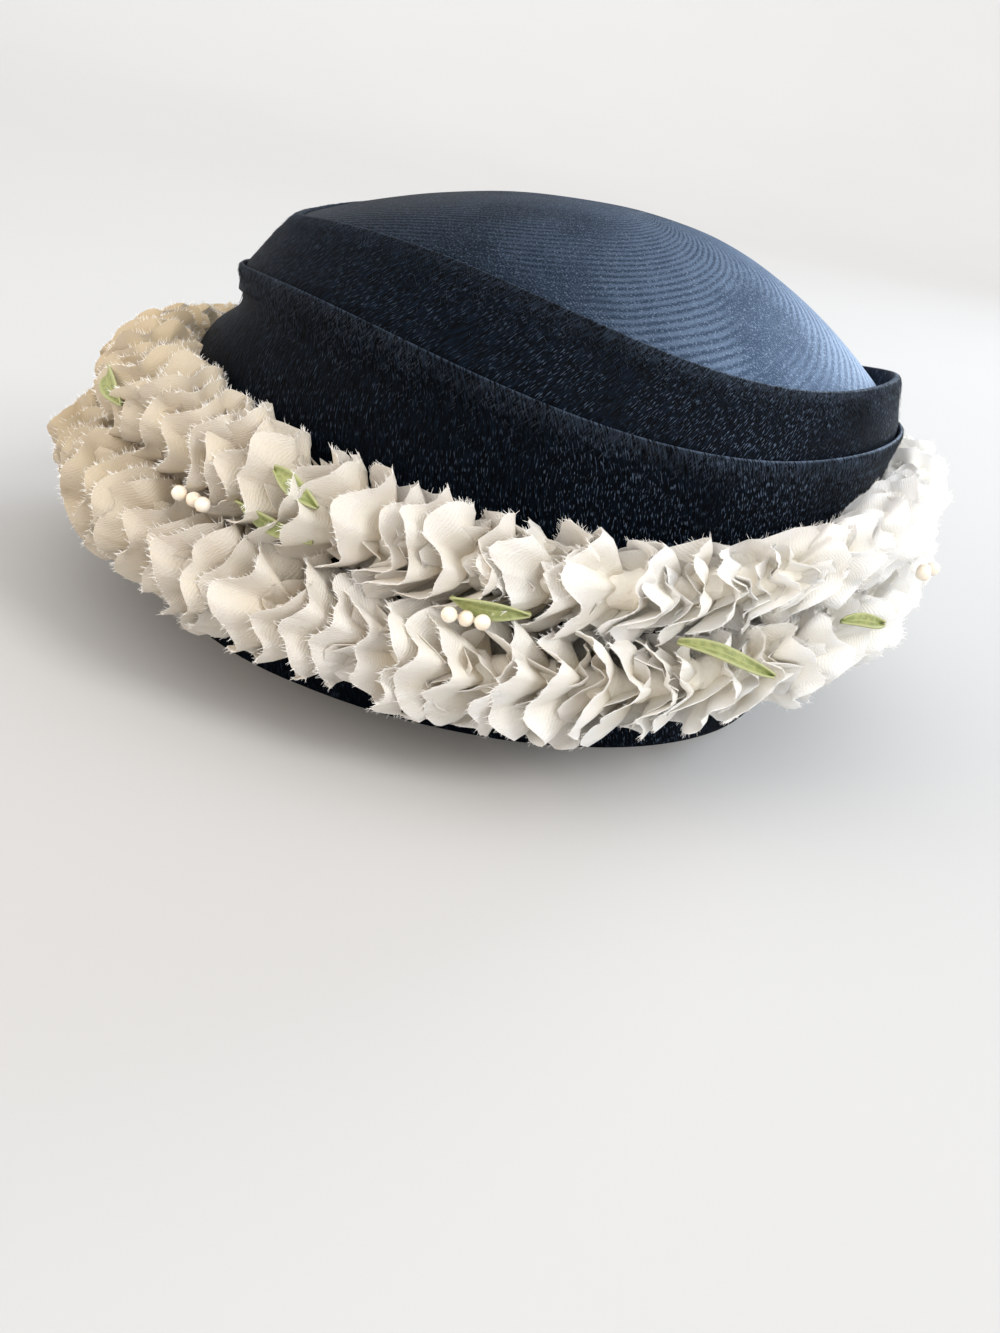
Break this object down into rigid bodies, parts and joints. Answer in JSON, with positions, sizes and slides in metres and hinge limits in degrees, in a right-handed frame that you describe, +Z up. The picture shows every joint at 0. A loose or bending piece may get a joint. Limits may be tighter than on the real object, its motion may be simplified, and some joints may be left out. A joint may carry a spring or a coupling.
{
  "type": "pillbox hat",
  "caption": "Deep stepped cloth hat with rolled folds and a domed tip, and a full wreath of white cloth blossoms round its base.",
  "frame": {"origin": "on the surface that the rim rests on, under the middle of the wreath's outline seen from above", "axes": "+X to the back of the hat, +Y to the wearer's left, +Z up through the domed tip"},
  "size_m": [0.2666, 0.234, 0.1275],
  "materials": {
    "band_cloth": "fine ribbed weave with a slight sheen",
    "tier_cloth": "fine ribbed weave with a slight sheen",
    "tip_cloth": "fine weave worked in rows, with a silky sheen",
    "blossom_cloth": "soft ivory satin with frayed edges",
    "leaf_cloth": "matt",
    "pearl_glaze": "pearly"
  },
  "bodies": {
    "root": {"lower_band": "band_cloth", "upper_band": "tier_cloth", "crown_tip": "tip_cloth", "lower_flower_row": "blossom_cloth", "upper_flower_row": "blossom_cloth", "leaf_1": "leaf_cloth", "leaf_2": "leaf_cloth", "leaf_3": "leaf_cloth", "leaf_4": "leaf_cloth", "leaf_5": "leaf_cloth", "leaf_6": "leaf_cloth", "leaf_7": "leaf_cloth", "leaf_8": "leaf_cloth", "leaf_9": "leaf_cloth", "stamens_1": "pearl_glaze", "stamens_2": "pearl_glaze", "stamens_3": "pearl_glaze"}
  },
  "joints": []
}
